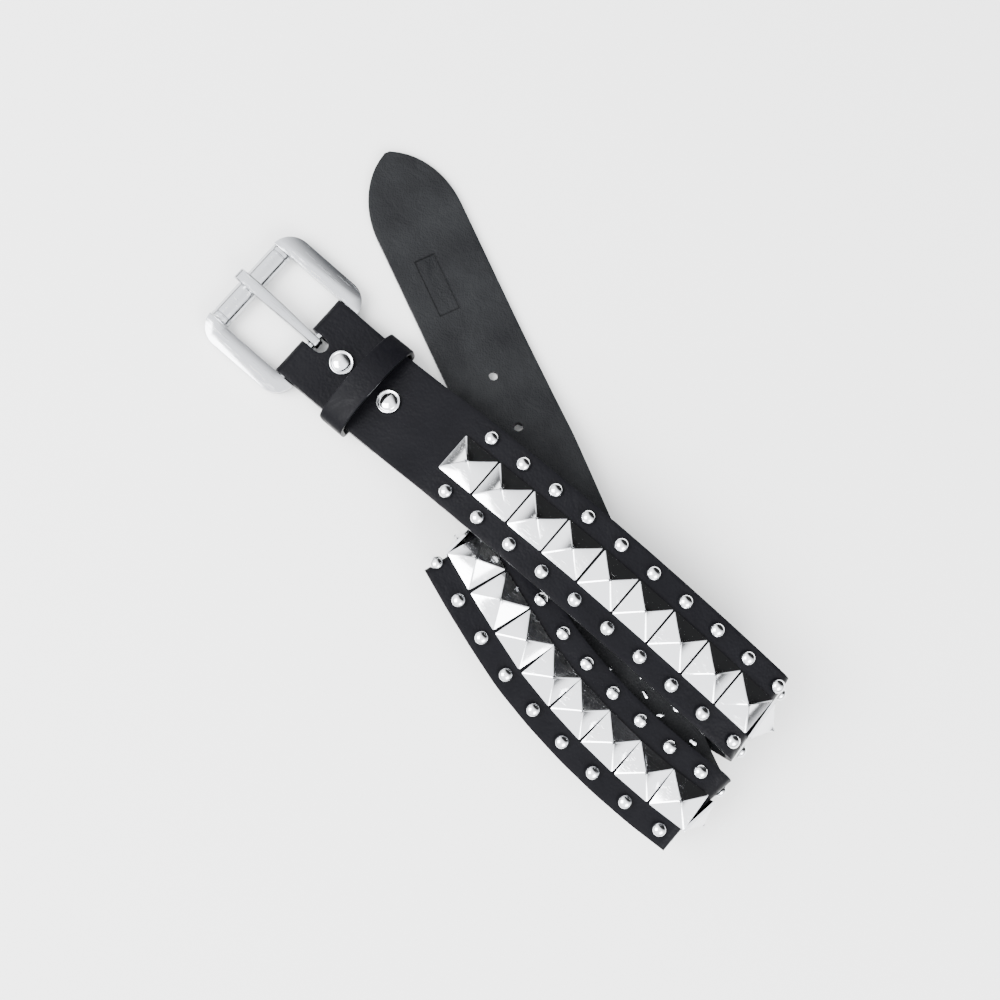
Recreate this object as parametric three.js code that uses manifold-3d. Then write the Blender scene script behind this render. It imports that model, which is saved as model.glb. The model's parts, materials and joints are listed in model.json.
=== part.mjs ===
// Studded leather belt, lying coiled with the buckle end on top.
// Millimetres, +Z up. The buckle points to -X and the coil lies at +X.
import * as THREE from "three";
import { mergeVertices } from "three/addons/utils/BufferGeometryUtils.js";
import Module from "manifold-3d";

const wasm = await Module();
wasm.setup();

// Driving dimensions
const strapWidth = 40;
const strapThickness = 3;
const studPitch = 18.2;
const gap = 0.3;
const studSpacing = 0.8;
const pyramidSide = studPitch - studSpacing;
const pyramidSkirt = 1.2;
const pyramidHeight = 7;
const domeDiameter = 6.5;
const domeHeight = 2.6;
const barRadius = 1.6;
const frameLength = 46;
const frameHeight = 5;
const armWidth = 8.8;
const rollerRadius = 4.6;

// Buckle sizes that follow from the strap and the arms
const frameSideRoom = 0.5;
const frameWidth = strapWidth + 2 * (armWidth + frameSideRoom);
const frontCornerRadius = 5.6;
const heelCornerRadius = 5;
const heelReach = 6;
const collarLength = 0.8;
const rollerLength = frameWidth - 2 * (armWidth + collarLength);
const rollerPlace = frameLength - heelReach - rollerRadius;
const prongWidth = 5.2;
const prongHeight = 2.9;
const prongEyeWall = 1.4;
const prongNose = 6.6;
const prongEdge = 0.5;

// Strap proportions
const edgeChamfer = strapThickness * 0.2;
const skivedThickness = 2.2;
const foldedBackLength = 50;
const skiveFade = 12;
const tipLength = strapWidth * 0.85;
const tipEndHalfWidth = 1.2;
const bendShare = 0.5;
const buckleEndPiece = 19.8;
const domePitch = studPitch * 0.93;
const domeOffset = strapWidth * 0.358;
const holeDiameter = 4;
const holePitch = 25.4;
const firstHoleFromTip = 107.5;
const holeCount = 5;
const prongSideRoom = 0.8;
const slotWidth = prongWidth + 2 * prongSideRoom;
const slotReach = 7;

// Parts behind the buckle, as lengths along the strap from the buckle's bar
const snapPlaces = [15.5, 42.5];
const snapDiameter = 10.4;
const snapHeight = 2;
const keeperPlace = 30;
const keeperWidth = 12;
const keeperWall = 2;
const keeperSideRoom = 1.3;
const keeperArch = 7.2;

// The strap's way from the buckle to the tip, one row for each run and fold.
// pieces: straight pieces between bends, one stud pitch long unless length is given.
// slope: degrees above level at the row's first and last piece, turning on past -90 at a fold.
// heading: degrees from +X towards +Y at the first and last piece.
// studded: whether each piece carries a pyramid.
// lift: how far a stud stands off leather that is twisted under it.
const route = [
  { name: "buckle end", pieces: 4, length: buckleEndPiece, slope: [2.3, 27.3], heading: [0, 0], studded: false },
  { name: "top run rising", pieces: 4, slope: [15.8, 10.7], heading: [-0.1, -0.3], studded: true },
  { name: "top run", pieces: 5, slope: [4.6, -6.3], heading: [-0.6, -0.8], studded: true },
  { name: "first fold", pieces: 2, slope: [-70.6, -112.9], heading: [3.7, 7.1], studded: true },
  { name: "bottom run", pieces: 7, slope: [-180, -180], heading: [10.5, 10.5], studded: true },
  { name: "left fold", pieces: 1, slope: [-247.7, -247.7], heading: [-5, -5], studded: true, lift: 0.9 },
  { name: "second run rising", pieces: 3, slope: [-348, -361.5], heading: [-19.9, -15.8], studded: true },
  { name: "second run", pieces: 5, slope: [-364, -355.4], heading: [-10, 3.3], studded: true },
  { name: "second fold", pieces: 1, slope: [-445.9, -445.9], heading: [-9.1, -9.1], studded: true },
  { name: "run under the coil", pieces: 4, slope: [-549.5, -541.6], heading: [-21.3, -27.1], studded: true },
  { name: "tip over the bottom run", pieces: 5, slope: [-535.7, -531.7], heading: [-26.9, -26.9], studded: false },
  { name: "tip coming down", pieces: 3, slope: [-525, -537.1], heading: [-25.4, -23.7], studded: false },
  { name: "tip on the surface", pieces: 5, slope: [-540, -540], heading: [-23.8, -23.8], studded: false },
];

const leather = { color: 0x24242a, roughness: 0.55, metalness: 0 };
const chrome = { color: 0xdfe2e6, roughness: 0.14, metalness: 1 };
const black = { color: 0x1a1a1e, roughness: 0.7, metalness: 0 };

const radians = THREE.MathUtils.degToRad;

function mix(pair, share) {
  return pair[0] + (pair[1] - pair[0]) * share;
}

function smoothStep(value) {
  const share = THREE.MathUtils.clamp(value, 0, 1);
  return share * share * (3 - 2 * share);
}

// Straight pieces of the strap's middle surface, each with its own frame.
function layPieces() {
  const pieces = [];
  let start = new THREE.Vector3(0, 0, 0);
  let travelled = 0;
  for (const row of route) {
    for (let index = 0; index < row.pieces; index += 1) {
      const share = row.pieces > 1 ? index / (row.pieces - 1) : 0.5;
      const slope = radians(mix(row.slope, share));
      const heading = radians(mix(row.heading, share));
      const length = row.length ?? studPitch;
      const along = new THREE.Vector3(
        Math.cos(slope) * Math.cos(heading),
        Math.cos(slope) * Math.sin(heading),
        Math.sin(slope),
      );
      const across = new THREE.Vector3(-Math.sin(heading), Math.cos(heading), 0);
      const end = start.clone().addScaledVector(along, length);
      const lift = gap + (row.lift ?? 0);
      pieces.push({ start, end, along, across, length, travelled, lift, studded: row.studded, run: row.name });
      travelled += length;
      start = end.clone();
    }
  }
  return pieces;
}

const pieces = layPieces();
const strapLength = pieces[pieces.length - 1].travelled + pieces[pieces.length - 1].length;

// The coil stands on the points of the bottom run's studs.
const bottomRun = pieces.find((piece) => piece.run === "bottom run");
const rise = pyramidHeight + gap + strapThickness / 2 - bottomRun.end.z;
for (const piece of pieces) {
  piece.start.z += rise;
  piece.end.z += rise;
}

function frameOf(point, along, across) {
  const direction = along.clone().normalize();
  const normal = new THREE.Vector3().crossVectors(direction, across).normalize();
  const side = new THREE.Vector3().crossVectors(normal, direction).normalize();
  return { point: point.clone(), along: direction, across: side, normal };
}

function bendLeg(before, after) {
  return (bendShare * Math.min(before.length, after.length)) / 2;
}

// Frame in the rounded bend between two pieces, share 0 at its start and 1 at its end.
function bendFrame(before, after, share) {
  const leg = bendLeg(before, after);
  const first = before.end.clone().addScaledVector(before.along, -leg);
  const last = after.start.clone().addScaledVector(after.along, leg);
  const curve = new THREE.QuadraticBezierCurve3(first, before.end, last);
  const across = before.across.clone().lerp(after.across, share);
  return frameOf(curve.getPoint(share), curve.getTangent(share), across);
}

// Frame of the strap's middle surface at a length from the buckle's bar.
function strapFrame(distance) {
  let index = pieces.findIndex((piece) => distance < piece.travelled + piece.length);
  if (index < 0) {
    index = pieces.length - 1;
  }
  const piece = pieces[index];
  const local = distance - piece.travelled;
  if (index > 0) {
    const leg = bendLeg(pieces[index - 1], piece);
    if (local < leg) {
      return bendFrame(pieces[index - 1], piece, 0.5 + local / leg / 2);
    }
  }
  if (index < pieces.length - 1) {
    const leg = bendLeg(piece, pieces[index + 1]);
    if (local > piece.length - leg) {
      return bendFrame(piece, pieces[index + 1], (local - piece.length + leg) / leg / 2);
    }
  }
  return frameOf(piece.start.clone().addScaledVector(piece.along, local), piece.along, piece.across);
}

function thicknessAt(distance) {
  return mix([skivedThickness, strapThickness], smoothStep(distance / skiveFade));
}

// Half width of the strap at a length from its tip: a rounded point.
function halfWidthAt(fromTip) {
  if (fromTip >= tipLength) {
    return strapWidth / 2;
  }
  const rest = 1 - (1 - fromTip / tipLength) ** 2.2;
  return Math.max(tipEndHalfWidth, (strapWidth / 2) * rest ** 0.7);
}

function strapSection(halfWidth, thickness) {
  const half = thickness / 2;
  const cut = Math.min(edgeChamfer, thickness * 0.3);
  return [
    [halfWidth - cut, half],
    [-halfWidth + cut, half],
    [-halfWidth, half - cut],
    [-halfWidth, cut - half],
    [-halfWidth + cut, -half],
    [halfWidth - cut, -half],
    [halfWidth, cut - half],
    [halfWidth, half - cut],
  ];
}

// Closed mesh through sections that all have the same number of points.
function sweep(frames, sections, closed = false) {
  const positions = [];
  const indices = [];
  const count = sections[0].length;
  frames.forEach((frame, row) => {
    for (const [sideways, up] of sections[row]) {
      const point = frame.point.clone();
      point.addScaledVector(frame.across, sideways);
      point.addScaledVector(frame.normal, up);
      positions.push(point.x, point.y, point.z);
    }
  });
  const rows = closed ? frames.length : frames.length - 1;
  for (let row = 0; row < rows; row += 1) {
    const here = row * count;
    const next = ((row + 1) % frames.length) * count;
    for (let index = 0; index < count; index += 1) {
      const other = (index + 1) % count;
      indices.push(here + index, next + other, next + index);
      indices.push(here + index, here + other, next + other);
    }
  }
  if (!closed) {
    const last = (frames.length - 1) * count;
    for (let index = 1; index < count - 1; index += 1) {
      indices.push(0, index + 1, index);
      indices.push(last, last + index, last + index + 1);
    }
  }
  const geometry = new THREE.BufferGeometry();
  geometry.setAttribute("position", new THREE.Float32BufferAttribute(positions, 3));
  geometry.setIndex(indices);
  return geometry;
}

function solidOf(source) {
  const geometry = source.clone();
  geometry.deleteAttribute("normal");
  geometry.deleteAttribute("uv");
  const merged = mergeVertices(geometry, 1e-4);
  return new wasm.Manifold(new wasm.Mesh({
    numProp: 3,
    vertProperties: Float32Array.from(merged.attributes.position.array),
    triVerts: Uint32Array.from(merged.index.array),
  }));
}

function geometryOf(solid) {
  const mesh = solid.getMesh();
  const geometry = new THREE.BufferGeometry();
  const points = new Float32Array(mesh.numVert * 3);
  for (let index = 0; index < mesh.numVert; index += 1) {
    for (let axis = 0; axis < 3; axis += 1) {
      points[index * 3 + axis] = mesh.vertProperties[index * mesh.numProp + axis];
    }
  }
  geometry.setAttribute("position", new THREE.BufferAttribute(points, 3));
  geometry.setIndex(new THREE.BufferAttribute(Uint32Array.from(mesh.triVerts), 1));
  return geometry;
}

function matrixOf(frame, lift = 0) {
  const matrix = new THREE.Matrix4().makeBasis(frame.along, frame.across, frame.normal);
  return matrix.setPosition(frame.point.clone().addScaledVector(frame.normal, lift));
}

const whole = new THREE.Group();

function addMesh(group, name, geometry, look) {
  const plain = geometry.index ? geometry.toNonIndexed() : geometry;
  plain.computeVertexNormals();
  const mesh = new THREE.Mesh(plain, new THREE.MeshStandardMaterial(look));
  mesh.name = name;
  group.add(mesh);
  return mesh;
}

// Radius of the leather's middle surface round the buckle's bar
const loopRadius = barRadius + gap + skivedThickness / 2;
const startFrame = strapFrame(0);
const barCentre = startFrame.point.clone().addScaledVector(startFrame.normal, -loopRadius);

// The end folded back lies under the main layer, with the bar's loop opening at its start.
function foldedBackDrop(distance) {
  const layers = (thicknessAt(distance) + skivedThickness) / 2 + gap;
  return mix([loopRadius * 2, layers], smoothStep(distance / (skiveFade * 1.5)));
}

function foldFrames() {
  const frames = [];
  for (let distance = foldedBackLength; distance > 0; distance -= 4) {
    const frame = strapFrame(distance);
    const point = frame.point.clone().addScaledVector(frame.normal, -foldedBackDrop(distance));
    frames.push(frameOf(point, frame.along.clone().negate(), frame.across));
  }
  const steps = 8;
  for (let step = 0; step < steps; step += 1) {
    const turn = Math.PI * (1 - step / steps);
    const radial = startFrame.normal.clone().applyAxisAngle(startFrame.across, -turn);
    const point = barCentre.clone().addScaledVector(radial, loopRadius);
    const along = new THREE.Vector3().crossVectors(startFrame.across, radial);
    frames.push(frameOf(point, along, startFrame.across));
  }
  return frames;
}

function strapStations() {
  const stations = [];
  pieces.forEach((piece, index) => {
    if (index === 0) {
      for (let distance = 0; distance < skiveFade; distance += 3) {
        stations.push(distance);
      }
      return;
    }
    const before = pieces[index - 1];
    const leg = bendLeg(before, piece);
    const turn = THREE.MathUtils.radToDeg(before.along.angleTo(piece.along));
    const steps = Math.max(1, Math.ceil(turn / 16));
    for (let step = 0; step <= steps; step += 1) {
      stations.push(piece.travelled + leg * (2 * (step / steps) - 1));
    }
  });
  const tipSteps = 9;
  for (let step = 0; step <= tipSteps; step += 1) {
    const open = Math.cos((Math.PI / 2) * (step / tipSteps));
    stations.push(strapLength - tipLength * open);
  }
  const sorted = stations.sort((a, b) => a - b);
  return sorted.filter((distance, index) => index === 0 || distance - sorted[index - 1] > 0.4);
}

function buildStrap() {
  const fold = foldFrames();
  const stations = strapStations();
  const frames = [...fold, ...stations.map(strapFrame)];
  const sections = [
    ...fold.map(() => strapSection(strapWidth / 2, skivedThickness)),
    ...stations.map((distance) => strapSection(halfWidthAt(strapLength - distance), thicknessAt(distance))),
  ];
  let solid = solidOf(sweep(frames, sections));

  // Slot for the prong, through both sides of the loop
  const slotFront = loopRadius * 3;
  const slot = new THREE.BoxGeometry(slotReach + slotFront, slotWidth, loopRadius * 6);
  slot.translate((slotReach - slotFront) / 2, 0, 0);
  slot.applyMatrix4(matrixOf({ ...startFrame, point: barCentre }));
  solid = solid.subtract(solidOf(slot));

  for (let index = 0; index < holeCount; index += 1) {
    const hole = new THREE.CylinderGeometry(holeDiameter / 2, holeDiameter / 2, strapThickness * 3, 14);
    hole.rotateX(Math.PI / 2);
    hole.applyMatrix4(matrixOf(strapFrame(strapLength - firstHoleFromTip - index * holePitch)));
    solid = solid.subtract(solidOf(hole));
  }
  return solid;
}

const studdedPieces = pieces.filter((piece) => piece.studded);
const firstStud = studdedPieces[0].travelled + studPitch / 2;
const lastStud = studdedPieces[studdedPieces.length - 1].travelled + studPitch / 2;

function domeGeometry() {
  const radius = domeDiameter / 2;
  const sunk = strapThickness / 2;
  const profile = [
    new THREE.Vector2(0, -sunk),
    new THREE.Vector2(radius * 0.9, -sunk),
    new THREE.Vector2(radius, 0.2),
    new THREE.Vector2(radius * 0.72, domeHeight * 0.74),
    new THREE.Vector2(0, domeHeight),
  ];
  return new THREE.LatheGeometry(profile, 10).rotateX(Math.PI / 2);
}

// The round-headed studs are fixed in the leather, so they are part of the strap's body.
function fuseDomes(strap) {
  const dome = domeGeometry();
  const solids = [strap];
  for (let distance = firstStud; distance <= lastStud; distance += domePitch) {
    const frame = strapFrame(distance);
    for (const side of [-1, 1]) {
      const place = frame.point.clone().addScaledVector(frame.across, side * domeOffset);
      const copy = dome.clone().applyMatrix4(matrixOf({ ...frame, point: place }, strapThickness / 2));
      solids.push(solidOf(copy));
    }
  }
  return wasm.Manifold.union(solids);
}

addMesh(whole, "strap", geometryOf(fuseDomes(buildStrap())), leather);

// Square pyramid on an upright skirt, resting on the leather with a small gap
function pyramidGeometry() {
  const half = pyramidSide / 2;
  const rise = pyramidHeight - pyramidSkirt;
  const point = new THREE.ConeGeometry(half * Math.SQRT2, rise, 4, 1).rotateX(Math.PI / 2);
  point.rotateZ(Math.PI / 4).translate(0, 0, pyramidSkirt + rise / 2);
  const skirt = new THREE.BoxGeometry(pyramidSide, pyramidSide, pyramidSkirt).translate(0, 0, pyramidSkirt / 2);
  return geometryOf(solidOf(skirt).add(solidOf(point)));
}

const pyramid = pyramidGeometry();
studdedPieces.forEach((piece, index) => {
  const frame = strapFrame(piece.travelled + piece.length / 2);
  const name = `pyramid_stud_${String(index + 1).padStart(2, "0")}`;
  const mesh = addMesh(whole, name, pyramid, chrome);
  mesh.applyMatrix4(matrixOf(frame, strapThickness / 2 + piece.lift));
});

// Low domed caps with a thin rim
function snapGeometry() {
  const radius = snapDiameter / 2;
  const profile = [
    new THREE.Vector2(0, 0),
    new THREE.Vector2(radius, 0),
    new THREE.Vector2(radius, snapHeight * 0.25),
    new THREE.Vector2(radius * 0.8, snapHeight * 0.75),
    new THREE.Vector2(radius * 0.4, snapHeight * 0.97),
    new THREE.Vector2(0, snapHeight),
  ];
  return new THREE.LatheGeometry(profile, 20).rotateX(Math.PI / 2);
}

snapPlaces.forEach((distance, index) => {
  const mesh = addMesh(whole, `snap_cap_${index + 1}`, geometryOf(solidOf(snapGeometry())), chrome);
  mesh.applyMatrix4(matrixOf(strapFrame(distance), strapThickness / 2 + gap * 2));
});

// Outline of the keeper's inner or outer face: flat below the strap, arched above it
function keeperOutline(wall) {
  const side = strapWidth / 2 + keeperSideRoom + wall;
  const layers = strapThickness + gap + skivedThickness;
  const low = -gap - wall;
  const shoulder = layers + keeperArch * 0.2 + wall * 0.5;
  const crown = layers + keeperArch + wall;
  const pull = (crown - shoulder / 4) / 0.75;
  const shape = new THREE.Shape();
  shape.moveTo(-side + 1, low);
  shape.lineTo(side - 1, low);
  shape.quadraticCurveTo(side, low, side, low + 1);
  shape.lineTo(side, shoulder);
  shape.bezierCurveTo(side * 0.7, pull, -side * 0.7, pull, -side, shoulder);
  shape.lineTo(-side, low + 1);
  shape.quadraticCurveTo(-side, low, -side + 1, low);
  return shape;
}

// Leather loop round both layers of the strap, arched so that the tip can pass through it
function buildKeeper() {
  const shape = keeperOutline(keeperWall);
  const hollow = keeperOutline(0);
  shape.holes.push(new THREE.Path(hollow.getPoints(8).reverse()));
  const geometry = new THREE.ExtrudeGeometry(shape, { depth: keeperWidth, bevelEnabled: false, curveSegments: 8 });
  geometry.translate(0, 0, -keeperWidth / 2);
  geometry.applyMatrix4(new THREE.Matrix4().makeBasis(
    new THREE.Vector3(0, 1, 0),
    new THREE.Vector3(0, 0, 1),
    new THREE.Vector3(1, 0, 0),
  ));
  const underside = -(strapThickness / 2 + gap + skivedThickness);
  geometry.applyMatrix4(matrixOf(strapFrame(keeperPlace), underside));
  return geometryOf(solidOf(geometry));
}

addMesh(whole, "keeper_loop", buildKeeper(), black);

// Buckle, in a group whose origin is the bar's axis, with the front towards -X
const buckle = new THREE.Group();
const buckleTilt = Math.asin((barCentre.z - rollerRadius) / rollerPlace);
buckle.position.copy(barCentre);
buckle.rotation.y = -buckleTilt;
whole.add(buckle);

function barAlongY(radius, length, sides) {
  return new THREE.CylinderGeometry(radius, radius, length, sides);
}

// Centre line of the frame: a rectangle with rounded corners, wider round at the front
function frameLoop() {
  const frontX = heelReach - frameLength + armWidth / 2;
  const backX = heelReach - armWidth / 2;
  const side = (frameWidth - armWidth) / 2;
  const corners = [
    { x: frontX, y: side, radius: frontCornerRadius, from: Math.PI / 2 },
    { x: frontX, y: -side, radius: frontCornerRadius, from: Math.PI },
    { x: backX, y: -side, radius: heelCornerRadius, from: Math.PI * 1.5 },
    { x: backX, y: side, radius: heelCornerRadius, from: 0 },
  ];
  const frames = [];
  for (const corner of corners) {
    const centreX = corner.x + (corner.x === frontX ? corner.radius : -corner.radius);
    const centreY = corner.y - Math.sign(corner.y) * corner.radius;
    for (let step = 0; step <= 5; step += 1) {
      const turn = corner.from + (Math.PI / 2) * (step / 5);
      const outward = new THREE.Vector3(Math.cos(turn), Math.sin(turn), 0);
      const point = new THREE.Vector3(centreX, centreY, 0).addScaledVector(outward, corner.radius);
      frames.push({ point, across: outward.clone().negate(), normal: new THREE.Vector3(0, 0, 1) });
    }
  }
  return frames;
}

function roundedSection(width, height, sides) {
  const points = [];
  for (let index = 0; index < sides; index += 1) {
    const turn = (Math.PI * 2 * (index + 0.5)) / sides;
    const sideways = Math.sign(Math.cos(turn)) * Math.abs(Math.cos(turn)) ** 0.6;
    const up = Math.sign(Math.sin(turn)) * Math.abs(Math.sin(turn)) ** 0.6;
    points.push([(sideways * width) / 2, (up * height) / 2]);
  }
  return points;
}

function buildFrame() {
  const loop = frameLoop();
  const section = roundedSection(armWidth, frameHeight, 12);
  let solid = solidOf(sweep(loop, loop.map(() => section), true));
  const heelCut = new THREE.BoxGeometry(armWidth * 3, frameWidth - armWidth * 2, frameHeight * 4);
  const frontCut = new THREE.BoxGeometry(armWidth * 2, rollerLength + gap * 2, frameHeight * 4);
  frontCut.translate(-rollerPlace, 0, 0);
  solid = solid.subtract(solidOf(heelCut)).subtract(solidOf(frontCut));
  const heelBar = barAlongY(barRadius, frameWidth - armWidth, 20);
  const frontBar = barAlongY(barRadius, rollerLength + armWidth, 20).translate(-rollerPlace, 0, 0);
  return geometryOf(solid.add(solidOf(heelBar)).add(solidOf(frontBar)));
}

addMesh(buckle, "buckle_frame", buildFrame(), chrome);

function buildRoller() {
  const tube = solidOf(barAlongY(rollerRadius, rollerLength, 28));
  const bore = solidOf(barAlongY(barRadius + gap, rollerLength * 2, 20));
  return geometryOf(tube.subtract(bore));
}

addMesh(buckle, "buckle_roller", buildRoller(), chrome).position.x = -rollerPlace;

// Side outline of the prong: an eye round the bar and a shank that lies on the roller.
// Places along it are shares of the roller's place or of the nose beyond it.
function buildProng() {
  const eye = barRadius + gap + prongEyeWall;
  const rest = rollerRadius + gap;
  const top = (share) => rest + prongHeight * share;
  const nose = (share) => -rollerPlace - prongNose * share;
  const shape = new THREE.Shape();
  shape.moveTo(0, -eye);
  shape.absarc(0, 0, eye, -Math.PI / 2, Math.PI / 2, false);
  shape.bezierCurveTo(-rollerPlace * 0.25, eye + prongHeight * 0.35, -rollerPlace * 0.56, top(1.17), nose(0), top(1));
  shape.bezierCurveTo(nose(0.43), top(0.97), nose(0.78), top(0.76), nose(1), top(0.21));
  shape.bezierCurveTo(nose(0.74), top(-0.14), nose(0.43), top(0), nose(0), top(0));
  shape.bezierCurveTo(-rollerPlace * 0.62, top(0.21), -rollerPlace * 0.31, -eye * 0.36, 0, -eye);
  const bore = new THREE.Path();
  bore.absarc(0, 0, barRadius + gap, 0, Math.PI * 2, true);
  shape.holes.push(bore);
  const depth = prongWidth - prongEdge * 2;
  const geometry = new THREE.ExtrudeGeometry(shape, {
    depth,
    bevelEnabled: true,
    bevelSize: prongEdge * 0.8,
    bevelOffset: -prongEdge * 0.8,
    bevelThickness: prongEdge,
    bevelSegments: 1,
    curveSegments: 10,
  });
  geometry.translate(0, 0, -depth / 2);
  return geometry.rotateX(Math.PI / 2);
}

addMesh(buckle, "buckle_prong", buildProng(), chrome);

// The origin is at the bottom centre of the belt's box.
whole.updateMatrixWorld(true);
const box = new THREE.Box3().setFromObject(whole, true);
const middle = box.getCenter(new THREE.Vector3());
whole.position.set(-middle.x, -middle.y, -box.min.z);
whole.updateMatrixWorld(true);

export default whole;
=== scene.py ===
import json
import math

import bpy
from mathutils import Matrix, Quaternion, Vector


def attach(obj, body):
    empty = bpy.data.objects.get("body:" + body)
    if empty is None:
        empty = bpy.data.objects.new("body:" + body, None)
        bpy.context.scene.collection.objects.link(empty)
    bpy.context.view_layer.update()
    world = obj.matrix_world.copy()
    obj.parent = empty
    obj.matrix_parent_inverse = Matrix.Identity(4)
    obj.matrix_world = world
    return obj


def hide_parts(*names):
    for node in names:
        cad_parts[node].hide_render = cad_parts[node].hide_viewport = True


MM = 0.001

# Sizes in millimetres, the same as the model's
STRAP_WIDTH = 40.0
STRAP_THICKNESS = 3.0
SKIVED_THICKNESS = 2.2
SKIVE_FADE = 12.0
FOLDED_BACK = 50.0
STUD_PITCH = 18.2
CLEARANCE = 0.3
BAR_RADIUS = 1.6
BEND_SHARE = 0.5
BUCKLE_END_PIECE = 19.8
TIP_LENGTH = STRAP_WIDTH * 0.85
TIP_END_HALF_WIDTH = 1.2
STUD_SPACING = 0.8
PYRAMID_SIDE = STUD_PITCH - STUD_SPACING
PYRAMID_SKIRT = 1.2
PYRAMID_HEIGHT = 7.0
ROUND_STUD_DIAMETER = 6.5
ROUND_STUD_HEIGHT = 2.6
ROUND_STUD_FOOT = 0.35
RIVET_BACK_RADIUS = 1.75
RIVET_BACK_DEPTH = 0.5
CLAW_LENGTH = 3.4
CLAW_WIDTH = 1.5
CLAW_DEPTH = 0.5
CLAW_ACROSS = 4.2
BACK_STANDS_OFF = 0.1
ROUND_STUD_PITCH = STUD_PITCH * 0.93
ROUND_STUD_OFFSET = STRAP_WIDTH * 0.358
HOLE_DIAMETER = 4.0
HOLE_PITCH = 25.4
FIRST_HOLE = 107.5
HOLE_COUNT = 5
SLOT_WIDTH = 6.8
SLOT_REACH = 7.0
KEEPER_PLACE = 30.0
KEEPER_WIDTH = 12.0
STAMP_FROM_TIP = 61.5
STAMP_ACROSS = -5.0
STAMP_LENGTH = 25.0
STAMP_WIDTH = 8.4
STAMP_DEPTH = 0.3
STAMP_LINE = 0.7
KEEPER_WALL = 2.0
KEEPER_SIDE_ROOM = 1.3
KEEPER_ARCH = 7.2
SNAP_PLACES = (15.5, 42.5)
SNAP_DIAMETER = 10.4
FRAME_LENGTH = 46.0
FRAME_HEIGHT = 5.0
ARM_WIDTH = 8.8
FRAME_SIDE_ROOM = 0.5
FRAME_WIDTH = STRAP_WIDTH + 2 * (ARM_WIDTH + FRAME_SIDE_ROOM)
FRONT_CORNER = 10.0
HEEL_CORNER = 9.4
WINDOW_CORNERS = (1.2, 0.6)
CUT_REACH = 9.0
HEEL_REACH = 6.0
ROLLER_RADIUS = 4.6
COLLAR_LENGTH = 0.8
ROLLER_LENGTH = FRAME_WIDTH - 2 * (ARM_WIDTH + COLLAR_LENGTH)
ROLLER_PLACE = FRAME_LENGTH - HEEL_REACH - ROLLER_RADIUS
PRONG_EYE_SHARE = 0.72

LOOP_RADIUS = BAR_RADIUS + CLEARANCE + SKIVED_THICKNESS / 2
WRAP_LENGTH = math.pi * LOOP_RADIUS

# The strap's way from the buckle to the tip: pieces, piece length, slope, heading, studded, lift
ROUTE = (
    ("buckle end", 4, BUCKLE_END_PIECE, (2.3, 27.3), (0, 0), False, 0),
    ("top run rising", 4, STUD_PITCH, (15.8, 10.7), (-0.1, -0.3), True, 0),
    ("top run", 5, STUD_PITCH, (4.6, -6.3), (-0.6, -0.8), True, 0),
    ("first fold", 2, STUD_PITCH, (-70.6, -112.9), (3.7, 7.1), True, 0),
    ("bottom run", 7, STUD_PITCH, (-180, -180), (10.5, 10.5), True, 0),
    ("left fold", 1, STUD_PITCH, (-247.7, -247.7), (-5, -5), True, 0.9),
    ("second run rising", 3, STUD_PITCH, (-348, -361.5), (-19.9, -15.8), True, 0),
    ("second run", 5, STUD_PITCH, (-364, -355.4), (-10, 3.3), True, 0),
    ("second fold", 1, STUD_PITCH, (-445.9, -445.9), (-9.1, -9.1), True, 0),
    ("run under the coil", 4, STUD_PITCH, (-549.5, -541.6), (-21.3, -27.1), True, 0),
    ("tip over the bottom run", 5, STUD_PITCH, (-535.7, -531.7), (-26.9, -26.9), False, 0),
    ("tip coming down", 3, STUD_PITCH, (-525, -537.1), (-25.4, -23.7), False, 0),
    ("tip on the surface", 5, STUD_PITCH, (-540, -540), (-23.8, -23.8), False, 0),
)

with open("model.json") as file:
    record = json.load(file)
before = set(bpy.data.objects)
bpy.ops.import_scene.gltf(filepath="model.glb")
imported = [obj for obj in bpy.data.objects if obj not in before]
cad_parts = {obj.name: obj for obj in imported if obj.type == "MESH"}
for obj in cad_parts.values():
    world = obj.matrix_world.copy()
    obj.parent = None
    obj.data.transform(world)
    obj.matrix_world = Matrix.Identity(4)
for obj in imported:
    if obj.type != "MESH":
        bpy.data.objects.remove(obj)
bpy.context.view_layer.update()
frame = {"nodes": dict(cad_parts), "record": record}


def mix(first, last, share):
    return first + (last - first) * share


def smooth_step(value):
    share = min(1.0, max(0.0, value))
    return share * share * (3 - 2 * share)


def lay_pieces():
    """Straight pieces of the strap's middle surface, in millimetres from the strap's start."""
    laid = []
    start = Vector((0, 0, 0))
    travelled = 0.0
    for name, count, length, slopes, headings, studded, lift in ROUTE:
        for index in range(count):
            share = index / (count - 1) if count > 1 else 0.5
            slope = math.radians(mix(slopes[0], slopes[1], share))
            heading = math.radians(mix(headings[0], headings[1], share))
            level = math.cos(slope)
            along = Vector((level * math.cos(heading), level * math.sin(heading), math.sin(slope)))
            laid.append({
                "run": name,
                "start": start.copy(),
                "end": start + along * length,
                "along": along,
                "across": Vector((-math.sin(heading), math.cos(heading), 0)),
                "length": length,
                "travelled": travelled,
                "studded": studded,
                "lift": CLEARANCE + lift,
            })
            travelled += length
            start = start + along * length
    return laid


PIECES = lay_pieces()
STRAP_LENGTH = PIECES[-1]["travelled"] + PIECES[-1]["length"]
STUDDED = [piece for piece in PIECES if piece["studded"]]


def make_frame(point, along, across):
    direction = along.normalized()
    normal = direction.cross(across).normalized()
    return point.copy(), direction, normal.cross(direction).normalized(), normal


def bend_leg(before, after):
    return BEND_SHARE * min(before["length"], after["length"]) / 2


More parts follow.
